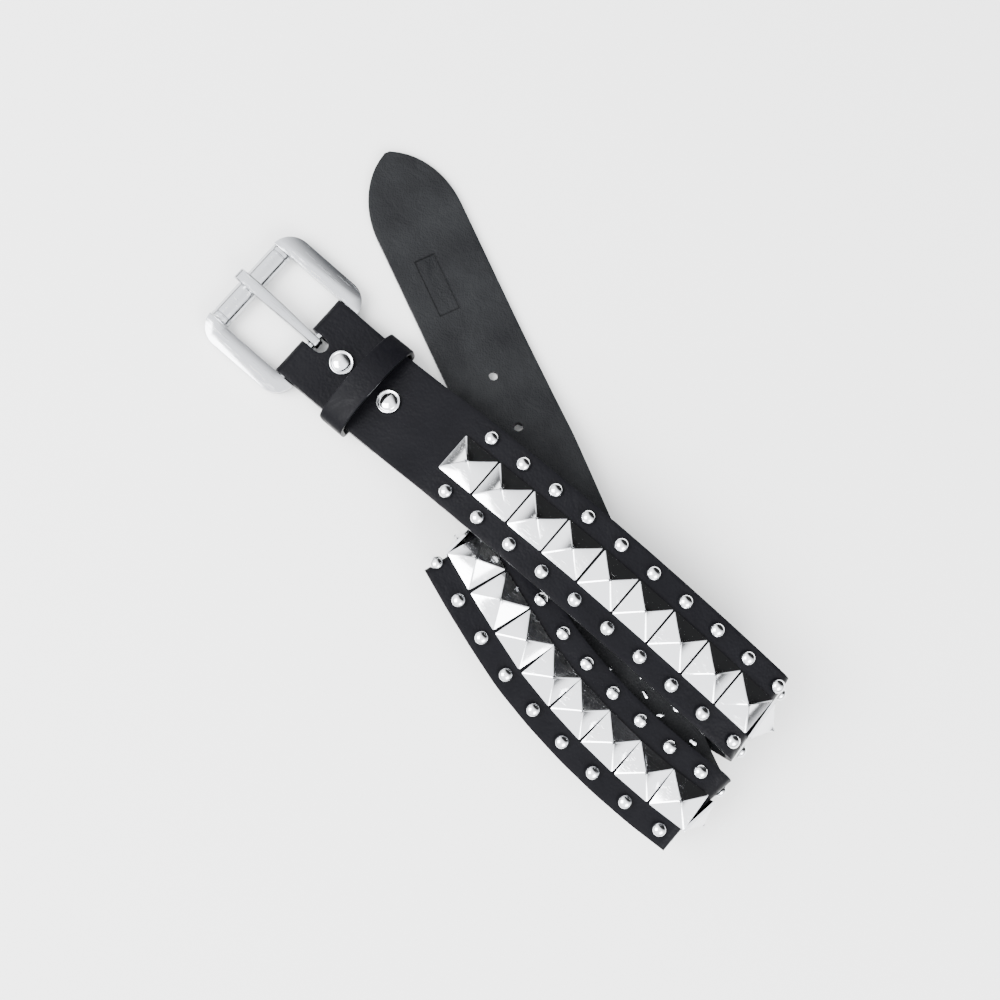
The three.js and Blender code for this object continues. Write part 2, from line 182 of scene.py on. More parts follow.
def bend_frame(before, after, share):
    """Frame in the rounded bend between two pieces."""
    leg = bend_leg(before, after)
    first = before["end"] - before["along"] * leg
    last = after["start"] + after["along"] * leg
    corner = before["end"]
    point = first * (1 - share) ** 2 + corner * 2 * share * (1 - share) + last * share ** 2
    along = (corner - first) * (1 - share) + (last - corner) * share
    return make_frame(point, along, before["across"].lerp(after["across"], share))


def route_frame(distance):
    """Frame of the strap's middle surface at a length past the buckle's bar."""
    ends = (i for i, laid in enumerate(PIECES) if distance < laid["travelled"] + laid["length"])
    index = next(ends, len(PIECES) - 1)
    piece = PIECES[index]
    local = distance - piece["travelled"]
    if index > 0:
        leg = bend_leg(PIECES[index - 1], piece)
        if local < leg:
            return bend_frame(PIECES[index - 1], piece, 0.5 + local / leg / 2)
    if index < len(PIECES) - 1:
        leg = bend_leg(piece, PIECES[index + 1])
        if local > piece["length"] - leg:
            return bend_frame(piece, PIECES[index + 1], (local - piece["length"] + leg) / leg / 2)
    return make_frame(piece["start"] + piece["along"] * local, piece["along"], piece["across"])


def thickness_at(distance):
    return mix(SKIVED_THICKNESS, STRAP_THICKNESS, smooth_step(distance / SKIVE_FADE))


START = route_frame(0)
BAR_CENTRE = START[0] - START[3] * LOOP_RADIUS
JOINTS = frame["record"]["behaviour"]["joints"]
SWING = next(joint for joint in JOINTS if joint["name"] == "buckle_swing")
ORIGIN = Vector(SWING["pos_m"]) / MM - BAR_CENTRE


def folded_drop(distance):
    layers = (thickness_at(distance) + SKIVED_THICKNESS) / 2 + CLEARANCE
    return mix(LOOP_RADIUS * 2, layers, smooth_step(distance / (SKIVE_FADE * 1.5)))


def strap_frame(distance):
    """Frame at a length along the whole strap: below 0 it goes round the bar and back under itself."""
    if distance >= 0:
        return route_frame(distance)
    if distance > -WRAP_LENGTH:
        turn = math.pi * distance / WRAP_LENGTH
        radial = Quaternion(START[2], turn) @ START[3]
        return make_frame(BAR_CENTRE + radial * LOOP_RADIUS, START[2].cross(radial), START[2])
    back = -distance - WRAP_LENGTH
    point, along, across, normal = route_frame(back)
    return make_frame(point - normal * folded_drop(back), -along, across)


def half_width_at(from_tip):
    if from_tip >= TIP_LENGTH:
        return STRAP_WIDTH / 2
    rest = 1 - (1 - from_tip / TIP_LENGTH) ** 2.2
    return max(TIP_END_HALF_WIDTH, STRAP_WIDTH / 2 * rest ** 0.7)


def placed(point):
    """A point in millimetres from the strap's start, as metres in the frame."""
    return (point + ORIGIN) * MM


def on_strap(distance, across=0.0, up=0.0):
    point, _, side, normal = strap_frame(distance)
    return placed(point + side * across + normal * up)


def strap_matrix(distance, across=0.0, up=0.0):
    """Places a piece modelled in metres, facing +Z, on the strap."""
    point, along, side, normal = strap_frame(distance)
    turn = Matrix((along, side, normal)).transposed().to_4x4()
    return Matrix.Translation(placed(point + side * across + normal * up)) @ turn


def clear_selection():
    if bpy.context.object and bpy.context.object.mode != "OBJECT":
        bpy.ops.object.mode_set(mode="OBJECT")
    bpy.ops.object.select_all(action="DESELECT")


def only(piece):
    clear_selection()
    piece.select_set(True)
    bpy.context.view_layer.objects.active = piece
    return piece


def finish_modifier(piece, kind, **values):
    only(piece)
    modifier = piece.modifiers.new(kind.lower(), kind)
    for key, value in values.items():
        setattr(modifier, key, value)
    bpy.ops.object.modifier_apply(modifier=modifier.name)


def join(name, parts):
    clear_selection()
    for part in parts:
        part.select_set(True)
    bpy.context.view_layer.objects.active = parts[0]
    if len(parts) > 1:
        bpy.ops.object.join()
    joined = bpy.context.object
    joined.name = name
    joined.data.name = name
    return joined


def copies(master, matrices, name):
    """One piece made of a copy of the master at each place."""
    parts = []
    for matrix in matrices:
        part = master.copy()
        part.data = master.data.copy()
        bpy.context.collection.objects.link(part)
        part.data.transform(matrix)
        parts.append(part)
    return join(name, parts)


def discard(piece):
    bpy.data.objects.remove(piece, do_unlink=True)


def smooth(piece, angle=35):
    only(piece)
    bpy.ops.object.shade_smooth_by_angle(angle=math.radians(angle))


def select_faces(piece, wanted):
    """Edit mode with only the faces selected whose centre and normal are wanted."""
    only(piece)
    for collection in (piece.data.vertices, piece.data.edges, piece.data.polygons):
        for element in collection:
            element.select = False
    for face in piece.data.polygons:
        face.select = wanted(face.center, face.normal)
    bpy.ops.object.mode_set(mode="EDIT")
    bpy.ops.mesh.select_mode(type="FACE")


def select_edges(piece, wanted):
    """Edit mode with only the edges selected whose two ends are wanted."""
    only(piece)
    for collection in (piece.data.vertices, piece.data.edges, piece.data.polygons):
        for element in collection:
            element.select = False
    points = piece.data.vertices
    for edge in piece.data.edges:
        edge.select = wanted(points[edge.vertices[0]].co, points[edge.vertices[1]].co)
    bpy.ops.object.mode_set(mode="EDIT")
    bpy.ops.mesh.select_mode(type="EDGE")


# Materials

def new_material(name):
    material = bpy.data.materials.new(name)
    material.use_nodes = True
    tree = material.node_tree
    return material, tree, tree.nodes["Principled BSDF"]


def add_node(tree, kind, **inputs):
    node = tree.nodes.new(kind)
    for key, value in inputs.items():
        node.inputs[key.replace("_", " ")].default_value = value
    return node


def make_grain_group():
    """Leather grain: fine pebbles, wider creases and a slow change of tone, from a point on the hide."""
    group = bpy.data.node_groups.new("leather_grain", "ShaderNodeTree")
    group.interface.new_socket("Point", in_out="INPUT", socket_type="NodeSocketVector")
    group.interface.new_socket("Pebble Scale", in_out="INPUT", socket_type="NodeSocketFloat")
    group.interface.new_socket("Crease Scale", in_out="INPUT", socket_type="NodeSocketFloat")
    group.interface.new_socket("Height", in_out="OUTPUT", socket_type="NodeSocketFloat")
    group.interface.new_socket("Crease", in_out="OUTPUT", socket_type="NodeSocketFloat")
    group.interface.new_socket("Tone", in_out="OUTPUT", socket_type="NodeSocketFloat")
    nodes = group.nodes
    links = group.links
    source = nodes.new("NodeGroupInput")
    result = nodes.new("NodeGroupOutput")

    pebble = nodes.new("ShaderNodeTexVoronoi")
    pebble.feature = "SMOOTH_F1"
    pebble.inputs["Smoothness"].default_value = 0.6
    links.new(source.outputs["Point"], pebble.inputs["Vector"])
    links.new(source.outputs["Pebble Scale"], pebble.inputs["Scale"])

    crease = nodes.new("ShaderNodeTexNoise")
    crease.inputs["Detail"].default_value = 6
    crease.inputs["Roughness"].default_value = 0.62
    crease.inputs["Distortion"].default_value = 1.4
    links.new(source.outputs["Point"], crease.inputs["Vector"])
    links.new(source.outputs["Crease Scale"], crease.inputs["Scale"])

    tone = nodes.new("ShaderNodeTexNoise")
    tone.inputs["Scale"].default_value = 55
    tone.inputs["Detail"].default_value = 3
    links.new(source.outputs["Point"], tone.inputs["Vector"])

    fold = nodes.new("ShaderNodeMapRange")
    fold.inputs["From Min"].default_value = 0.44
    fold.inputs["From Max"].default_value = 0.56
    links.new(crease.outputs["Fac"], fold.inputs["Value"])

    height = nodes.new("ShaderNodeMath")
    height.operation = "MULTIPLY_ADD"
    height.inputs[1].default_value = 0.55
    links.new(fold.outputs["Result"], height.inputs[0])
    links.new(pebble.outputs["Distance"], height.inputs[2])

    links.new(height.outputs["Value"], result.inputs["Height"])
    links.new(fold.outputs["Result"], result.inputs["Crease"])
    links.new(tone.outputs["Fac"], result.inputs["Tone"])
    return group


def make_wear_group():
    """Wear: fine scratches and smudges on metal, from a point in the piece."""
    group = bpy.data.node_groups.new("metal_wear", "ShaderNodeTree")
    group.interface.new_socket("Point", in_out="INPUT", socket_type="NodeSocketVector")
    group.interface.new_socket("Smudge Scale", in_out="INPUT", socket_type="NodeSocketFloat")
    group.interface.new_socket("Smudge", in_out="OUTPUT", socket_type="NodeSocketFloat")
    group.interface.new_socket("Scratch", in_out="OUTPUT", socket_type="NodeSocketFloat")
    nodes = group.nodes
    links = group.links
    source = nodes.new("NodeGroupInput")
    result = nodes.new("NodeGroupOutput")

    smudge = nodes.new("ShaderNodeTexNoise")
    smudge.inputs["Detail"].default_value = 4
    links.new(source.outputs["Point"], smudge.inputs["Vector"])
    links.new(source.outputs["Smudge Scale"], smudge.inputs["Scale"])

    stretch = nodes.new("ShaderNodeMapping")
    stretch.inputs["Rotation"].default_value = (0.3, 0.2, 0.6)
    stretch.inputs["Scale"].default_value = (1, 26, 9)
    links.new(source.outputs["Point"], stretch.inputs["Vector"])
    scratch = nodes.new("ShaderNodeTexNoise")
    scratch.inputs["Scale"].default_value = 90
    scratch.inputs["Detail"].default_value = 2
    links.new(stretch.outputs["Vector"], scratch.inputs["Vector"])
    thin = nodes.new("ShaderNodeMapRange")
    thin.inputs["From Min"].default_value = 0.62
    thin.inputs["From Max"].default_value = 0.72
    links.new(scratch.outputs["Fac"], thin.inputs["Value"])

    links.new(smudge.outputs["Fac"], result.inputs["Smudge"])
    links.new(thin.outputs["Result"], result.inputs["Scratch"])
    return group


GRAIN = make_grain_group()
WEAR = make_wear_group()


def link_bump(tree, shader, height, strength, distance):
    bump = add_node(tree, "ShaderNodeBump", Strength=strength, Distance=distance)
    tree.links.new(height, bump.inputs["Height"])
    tree.links.new(bump.outputs["Normal"], shader.inputs["Normal"])


def ranged(tree, value, low, high):
    node = add_node(tree, "ShaderNodeMapRange", To_Min=low, To_Max=high)
    tree.links.new(value, node.inputs["Value"])
    return node.outputs["Result"]


def blended(tree, share, first, second):
    node = tree.nodes.new("ShaderNodeMix")
    node.data_type = "RGBA"
    node.inputs["A"].default_value = (*first, 1)
    node.inputs["B"].default_value = (*second, 1)
    tree.links.new(share, node.inputs["Factor"])
    return node.outputs["Result"]


def leather_material(name, dark, light, roughness, pebbles, creases, bump, shine):
    """Grained leather that reads the strap's flat lay as its UV map, in metres."""
    material, tree, shader = new_material(name)
    shader.inputs["Specular IOR Level"].default_value = shine
    lay = tree.nodes.new("ShaderNodeUVMap")
    lay.uv_map = "lay"
    grain = tree.nodes.new("ShaderNodeGroup")
    grain.node_tree = GRAIN
    grain.inputs["Pebble Scale"].default_value = pebbles
    grain.inputs["Crease Scale"].default_value = creases
    tree.links.new(lay.outputs["UV"], grain.inputs["Point"])
    tree.links.new(blended(tree, grain.outputs["Tone"], dark, light), shader.inputs["Base Color"])
    tree.links.new(ranged(tree, grain.outputs["Crease"], *roughness), shader.inputs["Roughness"])
    link_bump(tree, shader, grain.outputs["Height"], bump, 0.0004)
    return material


def metal_material(name, colour, roughness, smudges, bump):
    material, tree, shader = new_material(name)
    shader.inputs["Base Color"].default_value = (*colour, 1)
    shader.inputs["Metallic"].default_value = 1
    place = tree.nodes.new("ShaderNodeTexCoord")
    wear = tree.nodes.new("ShaderNodeGroup")
    wear.node_tree = WEAR
    wear.inputs["Smudge Scale"].default_value = smudges
    tree.links.new(place.outputs["Object"], wear.inputs["Point"])
    tree.links.new(ranged(tree, wear.outputs["Smudge"], *roughness), shader.inputs["Roughness"])
    link_bump(tree, shader, wear.outputs["Scratch"], bump, 0.00005)
    return material


FRONT_LEATHER = leather_material(
    "black_leather", (0.0022, 0.0022, 0.003), (0.0055, 0.0055, 0.007), (0.34, 0.5), 900, 60, 0.2, 0.055)
BACK_LEATHER = leather_material(
    "leather_back", (0.0028, 0.0028, 0.0036), (0.017, 0.018, 0.019), (0.4, 0.6), 1500, 90, 0.4, 0.08)
EDGE_LEATHER = leather_material(
    "painted_edge", (0.003, 0.003, 0.004), (0.006, 0.006, 0.007), (0.28, 0.42), 500, 40, 0.2, 0.12)
STUD_METAL = metal_material("polished_stud", (0.82, 0.83, 0.85), (0.05, 0.16), 260, 0.25)
BUCKLE_METAL = metal_material("nickel_buckle", (0.5, 0.51, 0.53), (0.07, 0.2), 160, 0.35)


def finish_piece(piece, body, slot, *nodes):
    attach(piece, body)
    if nodes:
        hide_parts(*nodes)


# The strap, modelled flat and then laid along its way

def flat_slab(name, stations, sides, thickness_of, half_width_of):
    """A closed flat strip: its length along X, its width along Y and its outer face up, in metres."""
    columns = len(stations)
    rows = len(sides)
    bpy.ops.mesh.primitive_grid_add(x_subdivisions=columns - 1, y_subdivisions=rows - 1, size=2)
    slab = bpy.context.object
    slab.name = name
    for point in slab.data.vertices:
        column = round((point.co.x + 1) / 2 * (columns - 1))
        row = round((point.co.y + 1) / 2 * (rows - 1))
        distance = stations[column]
        point.co = Vector((distance, sides[row] * half_width_of(distance), thickness_of(distance) / 2)) * MM
    only(slab)
    bpy.ops.object.mode_set(mode="EDIT")
    bpy.ops.mesh.select_all(action="SELECT")
    bpy.ops.mesh.extrude_region_move(TRANSFORM_OT_translate={"value": (0, 0, 0)})
    bpy.ops.object.mode_set(mode="OBJECT")
    for point in slab.data.vertices:
        if point.select:
            point.co.z = -point.co.z
    bpy.ops.object.mode_set(mode="EDIT")
    bpy.ops.mesh.select_all(action="SELECT")
    bpy.ops.mesh.normals_make_consistent(inside=False)
    bpy.ops.object.mode_set(mode="OBJECT")
    return slab


def cut(piece, tool):
    finish_modifier(piece, "BOOLEAN", object=tool, operation="DIFFERENCE", solver="EXACT")
    discard(tool)


def round_edges(piece, width, segments=3, angle=50):
    finish_modifier(
        piece, "BEVEL", width=width * MM, segments=segments, limit_method="ANGLE",
        angle_limit=math.radians(angle), harden_normals=False)


def lay_uv(piece):
    """Keeps the flat lay as the piece's UV map, in metres."""
    layer = piece.data.uv_layers.new(name="lay")
    for loop in piece.data.loops:
        point = piece.data.vertices[loop.vertex_index].co
        layer.data[loop.index].uv = (point.x, point.y + point.z)


def strap_stations():
    """Lengths along the strap where it gets a column, closer together where it bends."""
    stations = []
    distance = -WRAP_LENGTH - FOLDED_BACK
    while distance < STRAP_LENGTH - TIP_LENGTH:
        stations.append(distance)
        near = strap_frame(distance)[1].angle(strap_frame(distance + 1)[1])
        distance += 0.7 if near > 0.06 else 1.0 if near > 0.015 else 2.0
    steps = 26
    for step in range(steps + 1):
        stations.append(STRAP_LENGTH - TIP_LENGTH * math.cos(math.pi / 2 * step / steps))
    return stations


def slab_thickness(distance):
    return thickness_at(distance) if distance >= 0 else SKIVED_THICKNESS


def stamp_block(margin, depth):
    """Block over the stamped rectangle, wider by the margin all round and let into the back."""
    place = (STRAP_LENGTH - STAMP_FROM_TIP, STAMP_ACROSS, -STRAP_THICKNESS / 2)
    bpy.ops.mesh.primitive_cube_add(size=1, location=Vector(place) * MM)
    block = bpy.context.object
    block.scale = Vector((STAMP_LENGTH + margin * 2, STAMP_WIDTH + margin * 2, depth * 2)) * MM
    bpy.ops.object.transform_apply(location=True, rotation=True, scale=True)
    return block


def build_strap():
    sides = [index / 9 for index in range(-9, 10)]
    strap = flat_slab(
        "strap_leather", strap_stations(), sides, slab_thickness,
        lambda distance: half_width_at(STRAP_LENGTH - distance))

    for index in range(HOLE_COUNT):
        place = STRAP_LENGTH - FIRST_HOLE - index * HOLE_PITCH
        bpy.ops.mesh.primitive_cylinder_add(
            vertices=32, radius=HOLE_DIAMETER / 2 * MM, depth=0.02, location=(place * MM, 0, 0))
        cut(strap, bpy.context.object)

    # Slot for the prong: a bar with round ends through the leather of the loop
    slot_start = -WRAP_LENGTH - SLOT_REACH
    slot_end = SLOT_REACH
    bpy.ops.mesh.primitive_cube_add(size=1, location=((slot_start + slot_end) / 2 * MM, 0, 0))
    slot = bpy.context.object
    slot.scale = ((slot_end - slot_start) * MM, SLOT_WIDTH * MM, 0.02)
    bpy.ops.object.transform_apply(location=True, rotation=True, scale=True)
    select_edges(slot, lambda a, b: abs(a.z - b.z) > 0.01)
    bpy.ops.mesh.bevel(offset=SLOT_WIDTH / 2.05 * MM, segments=8)
    bpy.ops.object.mode_set(mode="OBJECT")
    cut(strap, slot)

    round_edges(strap, 0.5)
    # Bare stamped rectangle in the back of the tip: a shallow bed with a pressed line round it
    stamp = stamp_block(0, STAMP_DEPTH)
    cut(strap, stamp)
    line = stamp_block(STAMP_LINE, STAMP_DEPTH + 0.4)
    cut(line, stamp_block(0, STAMP_DEPTH * 4))
    cut(strap, line)
    lay_uv(strap)
    add_leather_faces(strap)
    for point in strap.data.vertices:
        point.co = on_strap(point.co.x / MM, point.co.y / MM, point.co.z / MM)
    strap.data.update()
    smooth(strap, 40)
    finish_piece(strap, "strap", "leather", "strap")
    return strap


def add_leather_faces(piece):
    """Grained front, napped back and painted edges, told apart while the piece is still flat."""
    for material in (FRONT_LEATHER, BACK_LEATHER, EDGE_LEATHER):
        piece.data.materials.append(material)
    for face in piece.data.polygons:
        face.material_index = 0 if face.normal.z > 0.7 else 1 if face.normal.z < -0.7 else 2


# Round-headed studs in two rows

def round_stud_master():
    radius = ROUND_STUD_DIAMETER / 2 * MM
    bpy.ops.mesh.primitive_uv_sphere_add(segments=20, ring_count=12, radius=radius)
    stud = bpy.context.object
    only(stud)
    bpy.ops.object.mode_set(mode="EDIT")
    bpy.ops.mesh.select_all(action="SELECT")
    bpy.ops.mesh.bisect(plane_co=(0, 0, 0), plane_no=(0, 0, 1), clear_inner=True, use_fill=False)
    bpy.ops.mesh.select_all(action="SELECT")
    bpy.ops.transform.resize(value=(0.93, 0.93, (ROUND_STUD_HEIGHT - ROUND_STUD_FOOT) * MM / radius))
    bpy.ops.transform.translate(value=(0, 0, ROUND_STUD_FOOT * MM))
    bpy.ops.object.mode_set(mode="OBJECT")
    low = ROUND_STUD_FOOT * MM
    select_edges(stud, lambda a, b: a.z < low + 1e-5 and b.z < low + 1e-5)
    # The pressed foot: change of width and drop in millimetres
    for size, drop in ((1.075, -0.1), (1.0, -0.6)):
        bpy.ops.mesh.extrude_region_move(TRANSFORM_OT_translate={"value": (0, 0, drop * MM)})
        bpy.ops.transform.resize(value=(size, size, 1))
    bpy.ops.mesh.edge_face_add()
    bpy.ops.object.mode_set(mode="OBJECT")
    return stud


def round_stud_places():
    first = STUDDED[0]["travelled"] + STUD_PITCH / 2
    last = STUDDED[-1]["travelled"] + STUD_PITCH / 2
    count = int((last - first) / ROUND_STUD_PITCH) + 1
    return [first + index * ROUND_STUD_PITCH for index in range(count)]


def build_round_studs():
    master = round_stud_master()
    places = [
        strap_matrix(distance, side * ROUND_STUD_OFFSET, STRAP_THICKNESS / 2)
        for distance in round_stud_places() for side in (-1, 1)]
    studs = copies(master, places, "round_studs")
    discard(master)
    studs.data.materials.append(STUD_METAL)
    smooth(studs, 50)
    finish_piece(studs, "strap", "chrome")


# Square pyramid studs

def pyramid_master():
    """A pressed square cap: upright skirt, hollowed facets and rounded ridges."""
    half = PYRAMID_SIDE / 2
    rise = PYRAMID_HEIGHT - PYRAMID_SKIRT
    bpy.ops.mesh.primitive_cube_add(size=1, location=(0, 0, PYRAMID_SKIRT / 2 * MM))
    stud = bpy.context.object
    stud.scale = (PYRAMID_SIDE * MM, PYRAMID_SIDE * MM, PYRAMID_SKIRT * MM)
    bpy.ops.object.transform_apply(location=True, rotation=True, scale=True)
    select_faces(stud, lambda centre, normal: normal.z > 0.9)
    height = 0.0
    width = 1.0
    for share in (0.04, 0.16, 0.32, 0.5, 0.68, 0.84, 0.95, 1.0):
        hollow = 0.3 * share * (1 - share)
        new_width = max(0.035, 1 - share - hollow)
        new_height = rise * share
        bpy.ops.mesh.extrude_region_move(
            TRANSFORM_OT_translate={"value": (0, 0, (new_height - height) * MM)})
        bpy.ops.transform.resize(value=(new_width / width, new_width / width, 1))
        height = new_height
        width = new_width
    bpy.ops.object.mode_set(mode="OBJECT")
    corner = (half * 0.02) * MM
    select_edges(
        stud, lambda a, b: abs(abs(a.x) - abs(a.y)) < 1e-6 and abs(abs(b.x) - abs(b.y)) < 1e-6
        and abs(a.z - b.z) > 1e-6 and max(a.z, b.z) > (PYRAMID_SKIRT + 0.01) * MM and abs(a.x) > corner)
    bpy.ops.mesh.bevel(offset=0.55 * MM, segments=3, affect="EDGES")
    bpy.ops.object.mode_set(mode="OBJECT")
    return stud


def build_pyramids():
    master = pyramid_master()
    for index, piece in enumerate(STUDDED):
        middle = piece["travelled"] + piece["length"] / 2
        place = strap_matrix(middle, 0, STRAP_THICKNESS / 2 + piece["lift"])
        number = f"{index + 1:02d}"
        stud = copies(master, [place], f"pyramid_{number}")
        stud.data.materials.append(STUD_METAL)
        smooth(stud, 28)
        finish_piece(stud, "strap", "chrome", f"pyramid_stud_{number}")
    discard(master)


# Backs of the studs, pressed into the inner side of the leather

def build_rivet_backs():
    """A small flat disc behind each round stud."""
    bpy.ops.mesh.primitive_cylinder_add(
        vertices=20, radius=RIVET_BACK_RADIUS * MM, depth=RIVET_BACK_DEPTH * MM)
    master = bpy.context.object
    round_edges(master, 0.18, segments=2)
    places = [
        strap_matrix(distance, side * ROUND_STUD_OFFSET, -STRAP_THICKNESS / 2 - BACK_STANDS_OFF)
        for distance in round_stud_places() for side in (-1, 1)]
    backs = copies(master, places, "rivet_backs")
    discard(master)
    backs.data.materials.append(STUD_METAL)
    smooth(backs, 40)
    finish_piece(backs, "strap", "chrome")


def build_folded_claws():
    """Four claws of each pyramid, folded flat towards the middle of its back."""
    place = PYRAMID_SIDE / 2 - CLAW_LENGTH / 2 - 0.6
    corner = Vector((CLAW_LENGTH, CLAW_WIDTH, CLAW_DEPTH)) / 2
    master = box_piece(-corner, corner)
    round_edges(master, 0.15, segments=2)
    places = []
    for piece in STUDDED:
        distance = piece["travelled"] + piece["length"] / 2
        middle = strap_matrix(distance, 0, -STRAP_THICKNESS / 2 - BACK_STANDS_OFF)
        for quarter in range(4):
            turn = Matrix.Rotation(math.pi / 2 * quarter, 4, "Z")
            places.append(middle @ turn @ Matrix.Translation((place * MM, CLAW_ACROSS * MM, 0)))
    claws = copies(master, places, "folded_claws")
    discard(master)
    claws.data.materials.append(STUD_METAL)
    smooth(claws, 40)
    finish_piece(claws, "strap", "chrome")


# Keeper: a leather strip bent round both layers of the strap

def keeper_line():
    """Middle line of the keeper's wall across the strap, from the middle of its underside and back."""
    side = STRAP_WIDTH / 2 + KEEPER_SIDE_ROOM + KEEPER_WALL / 2
    layers = STRAP_THICKNESS + CLEARANCE + SKIVED_THICKNESS
    low = -CLEARANCE - KEEPER_WALL / 2
    shoulder = layers + KEEPER_ARCH * 0.2 + KEEPER_WALL * 0.25
    crown = layers + KEEPER_ARCH + KEEPER_WALL / 2
    pull = (crown - shoulder / 4) / 0.75
    right = [(side * step / 20, low) for step in range(20)]
    right += [(side, low + (shoulder - low) * step / 8) for step in range(8)]
    arch = []
    for step in range(41):
        share = step / 40
        rest = 1 - share
        across = side * (rest ** 3 + 2.1 * rest ** 2 * share - 2.1 * rest * share ** 2 - share ** 3)
        up = shoulder * (rest ** 3 + share ** 3) + pull * 3 * rest * share
        arch.append((across, up))
    left = [(-across, up) for across, up in reversed(right)]
    line = [Vector(point) for point in right + arch + left]
    for _ in range(3):
        inner = [(line[i - 1] + line[i] * 2 + line[i + 1]) / 4 for i in range(1, len(line) - 1)]
        line = [line[0], *inner, line[-1]]
    return line


def build_keeper():
    line = keeper_line()
    lengths = [0.0]
    for before, after in zip(line, line[1:]):
        lengths.append(lengths[-1] + (after - before).length)
    sides = [index / 6 for index in range(-6, 7)]
    keeper = flat_slab(
        "keeper_strip", lengths, sides, lambda distance: KEEPER_WALL, lambda distance: KEEPER_WIDTH / 2)
    round_edges(keeper, 0.5)
    lay_uv(keeper)
    add_leather_faces(keeper)
    point, along, side, normal = strap_frame(KEEPER_PLACE)
    base = point - normal * (STRAP_THICKNESS / 2 + CLEARANCE + SKIVED_THICKNESS)
    for vertex in keeper.data.vertices:
        distance = min(max(vertex.co.x / MM, 0.0), lengths[-1])
        reached = next(i for i, length in enumerate(lengths) if length >= distance)
        index = max(1, reached)
        share = (distance - lengths[index - 1]) / (lengths[index] - lengths[index - 1])
        spot = line[index - 1].lerp(line[index], share)
        ahead = line[min(index + 1, len(line) - 1)] - line[max(index - 2, 0)]
        outward = Vector((ahead.y, -ahead.x)).normalized()
        spot = spot + outward * (vertex.co.z / MM)
        vertex.co = placed(base + side * spot.x + normal * spot.y + along * (vertex.co.y / MM))
    only(keeper)
    bpy.ops.object.mode_set(mode="EDIT")
    bpy.ops.mesh.select_all(action="SELECT")
    bpy.ops.mesh.normals_make_consistent(inside=False)
    bpy.ops.object.mode_set(mode="OBJECT")
    smooth(keeper, 40)
    finish_piece(keeper, "strap", "keeper_leather", "keeper_loop")


# Snaps: low polished caps, each in a dark pressed ring

def snap_master():
    """A low cap with a rolled rim and a sunk ring inside it, facing +Z."""
    radius = SNAP_DIAMETER / 2 * MM
    bpy.ops.mesh.primitive_circle_add(vertices=48, radius=radius, fill_type="NGON")
    snap = bpy.context.object
    select_faces(snap, lambda centre, normal: True)
    width = 1.0
    # Share of the radius and the rise to it in millimetres, from the rim to the crown
    for size, up in (
            (1.0, 0.5), (0.985, 0.3), (0.94, 0.16), (0.88, 0.02), (0.83, -0.24), (0.79, -0.08),
            (0.76, 0.26), (0.68, 0.36), (0.56, 0.26), (0.4, 0.22), (0.22, 0.14), (0.06, 0.04)):
        bpy.ops.mesh.extrude_region_move(TRANSFORM_OT_translate={"value": (0, 0, up * MM)})
        bpy.ops.transform.resize(value=(size / width, size / width, 1))
        width = size
    bpy.ops.mesh.select_all(action="SELECT")
    bpy.ops.mesh.normals_make_consistent(inside=False)
    bpy.ops.object.mode_set(mode="OBJECT")
    return snap


def build_snaps():
    master = snap_master()
    for number, distance in enumerate(SNAP_PLACES, 1):
        place = strap_matrix(distance, 0, STRAP_THICKNESS / 2 + CLEARANCE * 2)
        snap = copies(master, [place], f"snap_{number}")
        snap.data.materials.append(STUD_METAL)
        smooth(snap, 50)
        finish_piece(snap, "strap", "chrome", f"snap_cap_{number}")
    discard(master)


# Buckle: a flat ring open at the heel and the front, a bar at each, the roller and the prong

BUCKLE_TILT = math.asin(((BAR_CENTRE + ORIGIN).z - ROLLER_RADIUS) / ROLLER_PLACE)
BUCKLE_PLACE = Matrix.Translation(placed(BAR_CENTRE)) @ Matrix.Rotation(-BUCKLE_TILT, 4, "Y")


def box_piece(low, high):
    """A plain block between two corners given in millimetres."""
    middle = [(a + b) / 2 * MM for a, b in zip(low, high)]
    bpy.ops.mesh.primitive_cube_add(size=1, location=middle)
    block = bpy.context.object
    block.scale = [(b - a) * MM for a, b in zip(low, high)]
    bpy.ops.object.transform_apply(location=True, rotation=True, scale=True)
    return block


def bar_piece(radius, length, place_x, sides=48):
    bpy.ops.mesh.primitive_cylinder_add(
        vertices=sides, radius=radius * MM, depth=length * MM, location=(place_x * MM, 0, 0),
        rotation=(math.pi / 2, 0, 0))
    bpy.ops.object.transform_apply(location=True, rotation=True, scale=True)
    return bpy.context.object


def rounded_block(length, width, height, middle_x, corners):
    """A block with upright corners rounded: one radius at the front and one at the heel."""
    block = box_piece(
        (middle_x - length / 2, -width / 2, -height / 2), (middle_x + length / 2, width / 2, height / 2))
    for front, radius in zip((True, False), corners):
        select_edges(
            block, lambda a, b: abs(a.z - b.z) > height * 0.9 * MM and (a.x < middle_x * MM) == front)
        bpy.ops.mesh.bevel(offset=radius * MM, segments=12)
        bpy.ops.object.mode_set(mode="OBJECT")
    return block


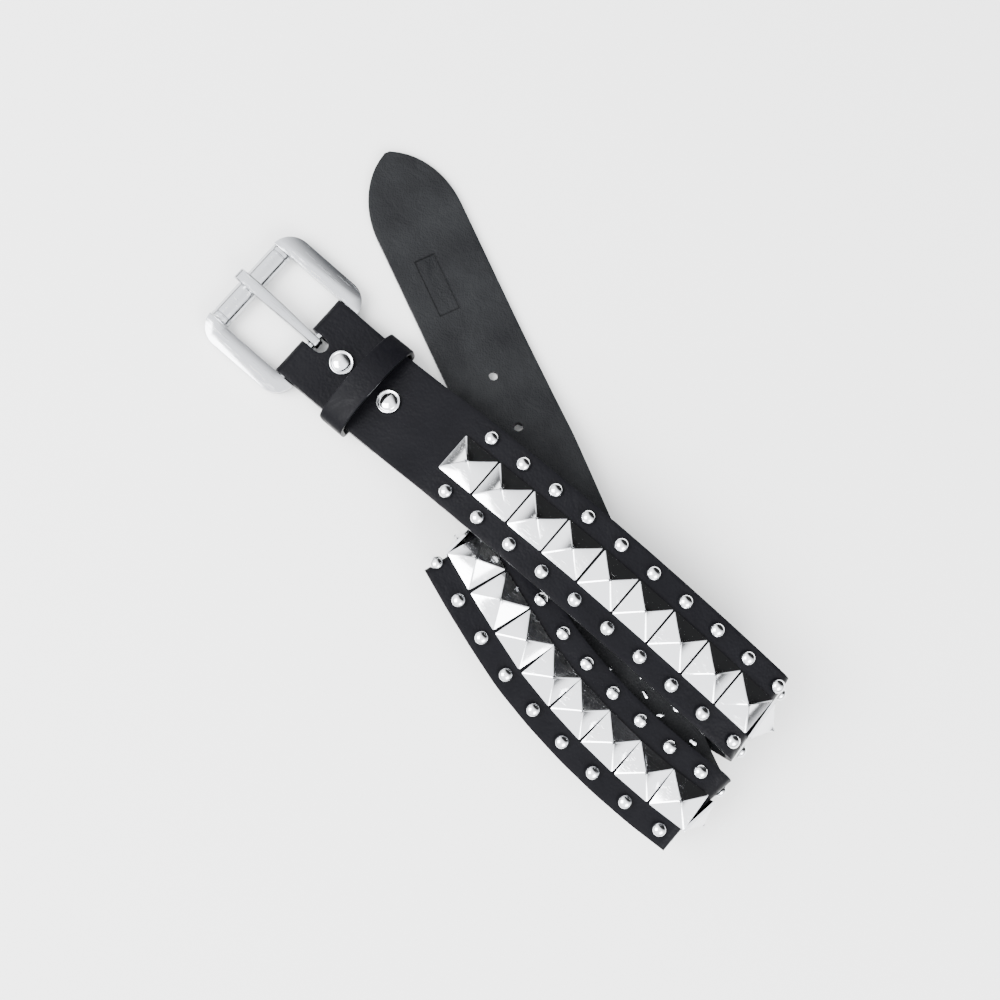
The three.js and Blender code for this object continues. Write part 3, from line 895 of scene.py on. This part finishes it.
def build_buckle_frame():
    middle_x = HEEL_REACH - FRAME_LENGTH / 2
    ring = rounded_block(FRAME_LENGTH, FRAME_WIDTH, FRAME_HEIGHT, middle_x, (FRONT_CORNER, HEEL_CORNER))
    ring.name = "buckle_ring"
    hollow = rounded_block(
        FRAME_LENGTH - 2 * ARM_WIDTH, FRAME_WIDTH - 2 * ARM_WIDTH, FRAME_HEIGHT * 3,
        middle_x, WINDOW_CORNERS)
    cut(ring, hollow)
    opening = FRAME_WIDTH / 2 - ARM_WIDTH
    cut(ring, box_piece(
        (-ARM_WIDTH * 1.5, -opening, -CUT_REACH),
        (ARM_WIDTH * 1.5, opening, CUT_REACH)))
    roller_room = ROLLER_LENGTH / 2 + CLEARANCE
    cut(ring, box_piece(
        (-ROLLER_PLACE - ARM_WIDTH, -roller_room, -CUT_REACH),
        (-ROLLER_PLACE + ARM_WIDTH, roller_room, CUT_REACH)))
    # A narrow chamfer inside the outer edge, then a soft round on every edge
    round_edges(ring, 1.5, segments=2, angle=60)
    round_edges(ring, 0.35, segments=3, angle=25)
    heel_bar = bar_piece(BAR_RADIUS, FRAME_WIDTH - ARM_WIDTH, 0)
    front_bar = bar_piece(BAR_RADIUS, ROLLER_LENGTH + ARM_WIDTH, -ROLLER_PLACE)
    buckle = join("buckle_ring", [ring, heel_bar, front_bar])
    buckle.data.transform(BUCKLE_PLACE)
    buckle.data.materials.append(BUCKLE_METAL)
    smooth(buckle, 30)
    finish_piece(buckle, "buckle_frame", "chrome", "buckle_frame")


def build_roller():
    """A rolled tube with a collar turned at each end and the seam where the sheet meets."""
    roller = bar_piece(ROLLER_RADIUS, ROLLER_LENGTH - 5.2, 0, 64)
    roller.name = "roller_tube"
    for end in (-1, 1):
        select_faces(roller, lambda centre, normal: normal.y * end > 0.9)
        # Change of width and step outwards in millimetres: groove, collar and rounded end
        for size, outward in ((0.93, 0.25), (1.0, 0.3), (1 / 0.93, 0.25), (1.0, 1.5), (0.93, 0.3)):
            bpy.ops.mesh.extrude_region_move(TRANSFORM_OT_translate={"value": (0, end * outward * MM, 0)})
            bpy.ops.transform.resize(value=(size, 1, size))
        bpy.ops.object.mode_set(mode="OBJECT")
    cut(roller, bar_piece(BAR_RADIUS + CLEARANCE, ROLLER_LENGTH * 2, 0))
    seam = box_piece(
        (-0.12, -ROLLER_LENGTH, ROLLER_RADIUS - 0.25), (0.12, ROLLER_LENGTH, ROLLER_RADIUS + 1))
    seam.data.transform(Matrix.Rotation(math.radians(150), 4, "Y"))
    cut(roller, seam)
    roller.data.transform(BUCKLE_PLACE @ Matrix.Translation((-ROLLER_PLACE * MM, 0, 0)))
    roller.data.materials.append(BUCKLE_METAL)
    smooth(roller, 30)
    finish_piece(roller, "buckle_roller", "chrome", "buckle_roller")


def build_prong():
    """The prong, full width on the roller and narrower towards its eye, with every edge rounded."""
    source = frame["nodes"]["buckle_prong"]
    prong = source.copy()
    prong.data = source.data.copy()
    prong.name = "prong_tongue"
    bpy.context.collection.objects.link(prong)
    only(prong)
    bpy.ops.object.mode_set(mode="EDIT")
    bpy.ops.mesh.select_all(action="SELECT")
    bpy.ops.mesh.remove_doubles(threshold=0.000002)
    bpy.ops.mesh.dissolve_limited(angle_limit=math.radians(2))
    bpy.ops.object.mode_set(mode="OBJECT")
    to_buckle = BUCKLE_PLACE.inverted()
    for vertex in prong.data.vertices:
        point = to_buckle @ vertex.co
        reach = smooth_step(-point.x / MM / (ROLLER_PLACE - 6))
        point.y *= mix(PRONG_EYE_SHARE, 1.0, reach)
        vertex.co = BUCKLE_PLACE @ point
    round_edges(prong, 0.32, segments=3, angle=28)
    prong.data.materials.clear()
    prong.data.materials.append(BUCKLE_METAL)
    smooth(prong, 32)
    finish_piece(prong, "buckle_prong", "chrome", "buckle_prong")


build_strap()
build_round_studs()
build_pyramids()
build_keeper()
build_snaps()
build_buckle_frame()
build_roller()
build_prong()
build_rivet_backs()
build_folded_claws()


# Camera, light and floor

CAMERA_FOCAL = 1241.5 / 1000 * 36
CAMERA_DISTANCE = 520.6
CAMERA_TILT = math.radians(7.3)
CAMERA_SIDE = math.radians(18.4)
CAMERA_ROLL = math.radians(40.9)
CAMERA_AIM = Vector((-3.3, -12.5, 15.0))


def build_camera():
    looking = Vector((
        math.sin(CAMERA_SIDE) * math.sin(CAMERA_TILT),
        math.cos(CAMERA_SIDE) * math.sin(CAMERA_TILT),
        -math.cos(CAMERA_TILT)))
    level = looking.cross(Vector((0, 0, 1))).normalized()
    upright = level.cross(looking)
    turn = CAMERA_ROLL + CAMERA_SIDE
    right = level * math.cos(turn) + upright * math.sin(turn)
    top = upright * math.cos(turn) - level * math.sin(turn)
    bpy.ops.object.camera_add()
    camera = bpy.context.object
    camera.name = "camera"
    axes = Matrix((right, top, -looking)).transposed().to_4x4()
    camera.matrix_world = Matrix.Translation((CAMERA_AIM - looking * CAMERA_DISTANCE) * MM) @ axes
    camera.data.lens = CAMERA_FOCAL
    camera.data.sensor_width = 36
    camera.data.clip_start = 0.01
    bpy.context.scene.camera = camera


def build_floor():
    bpy.ops.mesh.primitive_plane_add(size=8, location=(0, 0, -0.0002))
    floor = bpy.context.object
    floor.name = "floor"
    material, tree, shader = new_material("pale_floor")
    shader.inputs["Base Color"].default_value = (0.93, 0.93, 0.92, 1)
    shader.inputs["Roughness"].default_value = 0.9
    floor.data.materials.append(material)


def add_light(name, place, size, power):
    bpy.ops.object.light_add(type="AREA", location=place)
    light = bpy.context.object
    light.name = name
    light.data.shape = "RECTANGLE"
    light.data.size = size[0]
    light.data.size_y = size[1]
    light.data.energy = power
    aim = (Vector((0, 0, 0.02)) - Vector(place)).normalized()
    light.rotation_euler = aim.to_track_quat("-Z", "Y").to_euler()


def build_light():
    """A bright soft room with one dark side and a dark horizon, which the polished metal shows."""
    world = bpy.data.worlds.new("studio")
    bpy.context.scene.world = world
    world.use_nodes = True
    tree = world.node_tree
    room = tree.nodes["Background"]
    room.inputs["Color"].default_value = (0.97, 0.98, 1.0, 1)
    way = tree.nodes.new("ShaderNodeTexCoord")
    towards = tree.nodes.new("ShaderNodeVectorMath")
    towards.operation = "DOT_PRODUCT"
    towards.inputs[1].default_value = (0.1, 0.94, 0.3)
    tree.links.new(way.outputs["Generated"], towards.inputs[0])
    shade = add_node(tree, "ShaderNodeMapRange", From_Min=0.35, From_Max=0.8, To_Min=3.4, To_Max=0.03)
    shade.interpolation_type = "SMOOTHSTEP"
    tree.links.new(towards.outputs["Value"], shade.inputs["Value"])
    split = tree.nodes.new("ShaderNodeSeparateXYZ")
    tree.links.new(way.outputs["Generated"], split.inputs["Vector"])
    horizon = add_node(tree, "ShaderNodeMapRange", From_Min=0.06, From_Max=0.34, To_Min=0.05, To_Max=1)
    horizon.interpolation_type = "SMOOTHSTEP"
    tree.links.new(split.outputs["Z"], horizon.inputs["Value"])
    strength = tree.nodes.new("ShaderNodeMath")
    strength.operation = "MULTIPLY"
    tree.links.new(shade.outputs["Result"], strength.inputs[0])
    tree.links.new(horizon.outputs["Result"], strength.inputs[1])
    tree.links.new(strength.outputs["Value"], room.inputs["Strength"])
    # The wall behind the belt is pale where it is seen directly.
    wall = add_node(tree, "ShaderNodeBackground", Color=(0.97, 0.98, 1.0, 1), Strength=1.6)
    seen = tree.nodes.new("ShaderNodeLightPath")
    pick = tree.nodes.new("ShaderNodeMixShader")
    tree.links.new(seen.outputs["Is Camera Ray"], pick.inputs["Fac"])
    tree.links.new(room.outputs["Background"], pick.inputs[1])
    tree.links.new(wall.outputs["Background"], pick.inputs[2])
    tree.links.new(pick.outputs["Shader"], tree.nodes["World Output"].inputs["Surface"])
    add_light("key", (-0.7, -0.6, 1.1), (0.9, 0.9), 42)
    add_light("fill", (0.9, -0.4, 0.9), (0.7, 0.7), 18)


build_camera()
build_floor()
build_light()
